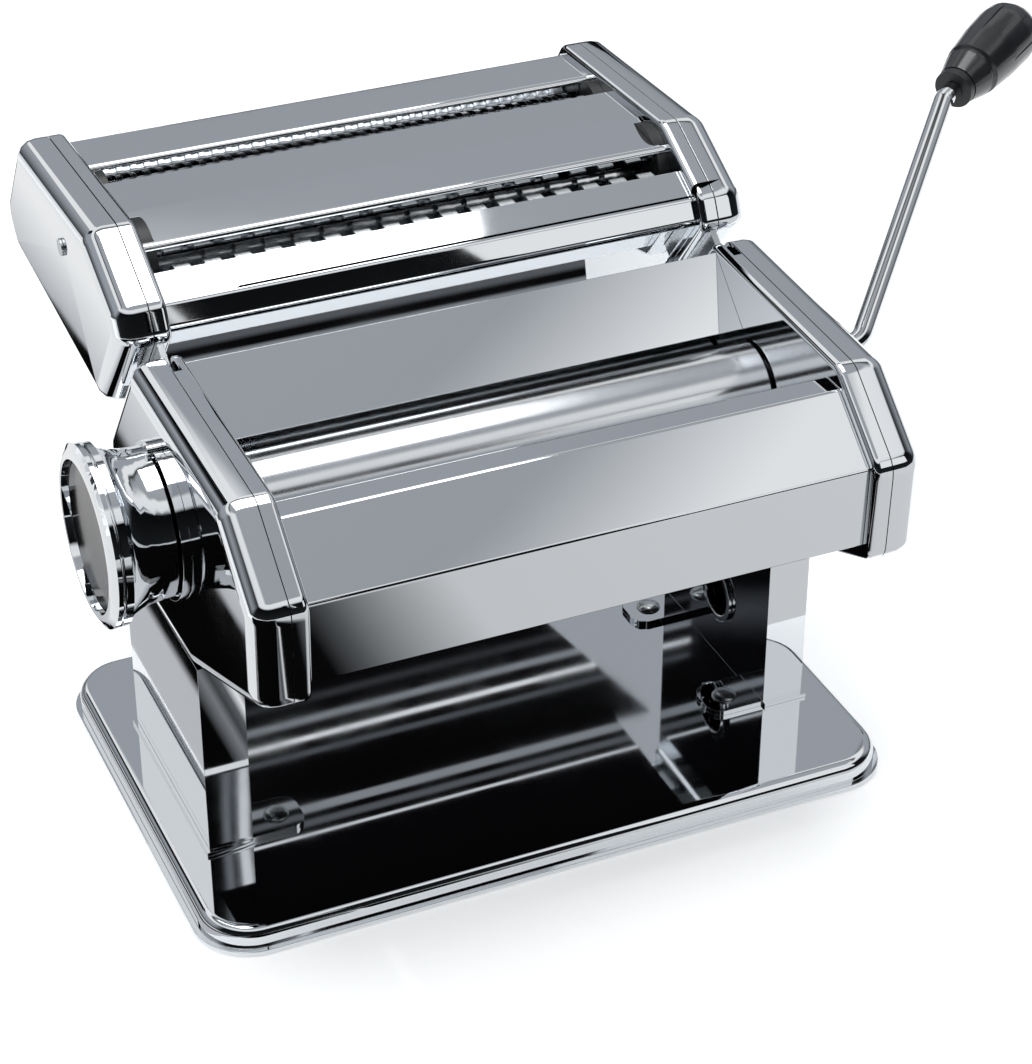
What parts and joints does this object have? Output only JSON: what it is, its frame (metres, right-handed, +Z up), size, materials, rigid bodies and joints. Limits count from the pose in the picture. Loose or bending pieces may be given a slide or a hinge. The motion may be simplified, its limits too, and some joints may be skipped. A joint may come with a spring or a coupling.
{
  "type": "pasta roller machine",
  "caption": "Hand-cranked pasta machine: two smooth rollers in a polished head on two legs and a base pan, a thickness knob, a bent crank with a grip and a lift-off noodle cutter unit.",
  "frame": {"origin": "on the table under the centre of the base pan", "axes": "+X along the rollers towards the crank, +Y from the front of the machine to the cutter unit behind it, +Z up"},
  "size_m": [0.354, 0.2098, 0.1593],
  "materials": {
    "polished_steel": "polished",
    "chromed_rod": "polished",
    "roller_steel": "satin",
    "gear_steel": "machined",
    "plain_steel": "plain",
    "black_plastic": "gloss",
    "rubber": "matte"
  },
  "bodies": {
    "frame": {"base_plate": "polished_steel", "base_feet": "rubber", "left_leg": "polished_steel", "right_leg": "polished_steel", "clamp_ring": "polished_steel", "foot_screws": "plain_steel", "left_side_plate": "polished_steel", "right_side_plate": "polished_steel", "left_end_cover": "polished_steel", "right_end_cover": "polished_steel", "cover_screws": "plain_steel", "front_panel": "polished_steel", "guide_plate": "polished_steel", "rear_panel": "polished_steel", "front_scraper": "plain_steel", "rear_scraper": "plain_steel", "tie_rods": "chromed_rod", "tie_screws": "plain_steel", "roller_bushes": "black_plastic", "drive_bush": "black_plastic", "selector_bush": "black_plastic", "index_plate": "polished_steel", "attachment_rails": "plain_steel"},
    "driven_roller": {"rear_roller": "roller_steel", "rear_gear": "gear_steel"},
    "adjust_carrier": {"left_carrier": "gear_steel", "right_carrier": "gear_steel"},
    "front_roller_body": {"front_roller": "roller_steel", "front_gear": "gear_steel"},
    "selector": {"selector_shaft": "chromed_rod", "selector_nut": "chromed_rod", "knob_spring": "plain_steel"},
    "knob": {"thickness_knob": "polished_steel", "knob_disc": "black_plastic"},
    "crank": {"crank_rod": "chromed_rod"},
    "grip": {"crank_grip": "black_plastic", "grip_collar": "black_plastic"},
    "cutter_unit": {"cutter_left_plate": "polished_steel", "cutter_right_plate": "polished_steel", "cutter_left_cover": "polished_steel", "cutter_right_cover": "polished_steel", "cutter_rear_panel": "polished_steel", "cutter_middle_plate": "polished_steel", "cutter_front_plate": "polished_steel", "wide_comb": "plain_steel", "narrow_comb": "plain_steel", "cutter_rails": "plain_steel", "cutter_tie_rods": "chromed_rod", "cutter_screws": "plain_steel", "cutter_cheeks": "black_plastic", "cutter_strippers": "plain_steel"},
    "wide_driven": {"wide_cutter_a": "roller_steel", "wide_gear_a": "gear_steel"},
    "wide_idle": {"wide_cutter_b": "roller_steel", "wide_gear_b": "gear_steel"},
    "narrow_driven": {"narrow_cutter_a": "roller_steel", "narrow_gear_a": "gear_steel"},
    "narrow_idle": {"narrow_cutter_b": "roller_steel", "narrow_gear_b": "gear_steel"}
  },
  "joints": [
    {"name": "roller_spin", "type": "hinge", "parent": "frame", "child": "driven_roller", "pos_m": [0, 0.0076, 0.096], "axis": [1, 0, 0], "continuous": true},
    {"name": "carrier_slide", "type": "slide", "parent": "frame", "child": "adjust_carrier", "axis": [0, 0.9272, -0.3746], "range_m": [0, 0.0016]},
    {"name": "front_spin", "type": "hinge", "parent": "adjust_carrier", "child": "front_roller_body", "pos_m": [0, -0.01827, 0.10645], "axis": [1, 0, 0], "continuous": true},
    {"name": "knob_turn", "type": "hinge", "parent": "frame", "child": "selector", "pos_m": [0, -0.01827, 0.10645], "axis": [1, 0, 0], "range_deg": [0, 160]},
    {"name": "knob_pull", "type": "slide", "parent": "selector", "child": "knob", "axis": [-1, 0, 0], "range_m": [0, 0.005], "stiffness_N_per_m": 300, "springref_m": -0.003, "deforming": ["knob_spring"]},
    {"name": "crank_pull", "type": "slide", "parent": "driven_roller", "child": "crank", "axis": [1, 0, 0], "range_m": [0, 0.02]},
    {"name": "grip_spin", "type": "hinge", "parent": "crank", "child": "grip", "pos_m": [0.20265, 0.0909, 0.12632], "axis": [0.8415, 0.5077, 0.1848], "continuous": true},
    {"name": "cutter_lift", "type": "slide", "parent": "frame", "child": "cutter_unit", "axis": [0, -0.6157, 0.788], "range_m": [0, 0.045]},
    {"name": "wide_spin", "type": "hinge", "parent": "cutter_unit", "child": "wide_driven", "pos_m": [0, 0.03991, 0.12935], "axis": [1, 0, 0], "continuous": true},
    {"name": "wide_idle_spin", "type": "hinge", "parent": "cutter_unit", "child": "wide_idle", "pos_m": [0, 0.05399, 0.13958], "axis": [1, 0, 0], "continuous": true},
    {"name": "narrow_spin", "type": "hinge", "parent": "cutter_unit", "child": "narrow_driven", "pos_m": [0, 0.07425, 0.13997], "axis": [1, 0, 0], "continuous": true},
    {"name": "narrow_idle_spin", "type": "hinge", "parent": "cutter_unit", "child": "narrow_idle", "pos_m": [0, 0.09065, 0.13997], "axis": [1, 0, 0], "continuous": true}
  ],
  "couplings": [
    {"joint": "front_spin", "follows": "roller_spin", "ratio": -1},
    {"joint": "knob_turn", "follows": "carrier_slide", "rad_per_m": 1745.3},
    {"joint": "wide_idle_spin", "follows": "wide_spin", "ratio": -1},
    {"joint": "narrow_idle_spin", "follows": "narrow_spin", "ratio": -1}
  ]
}
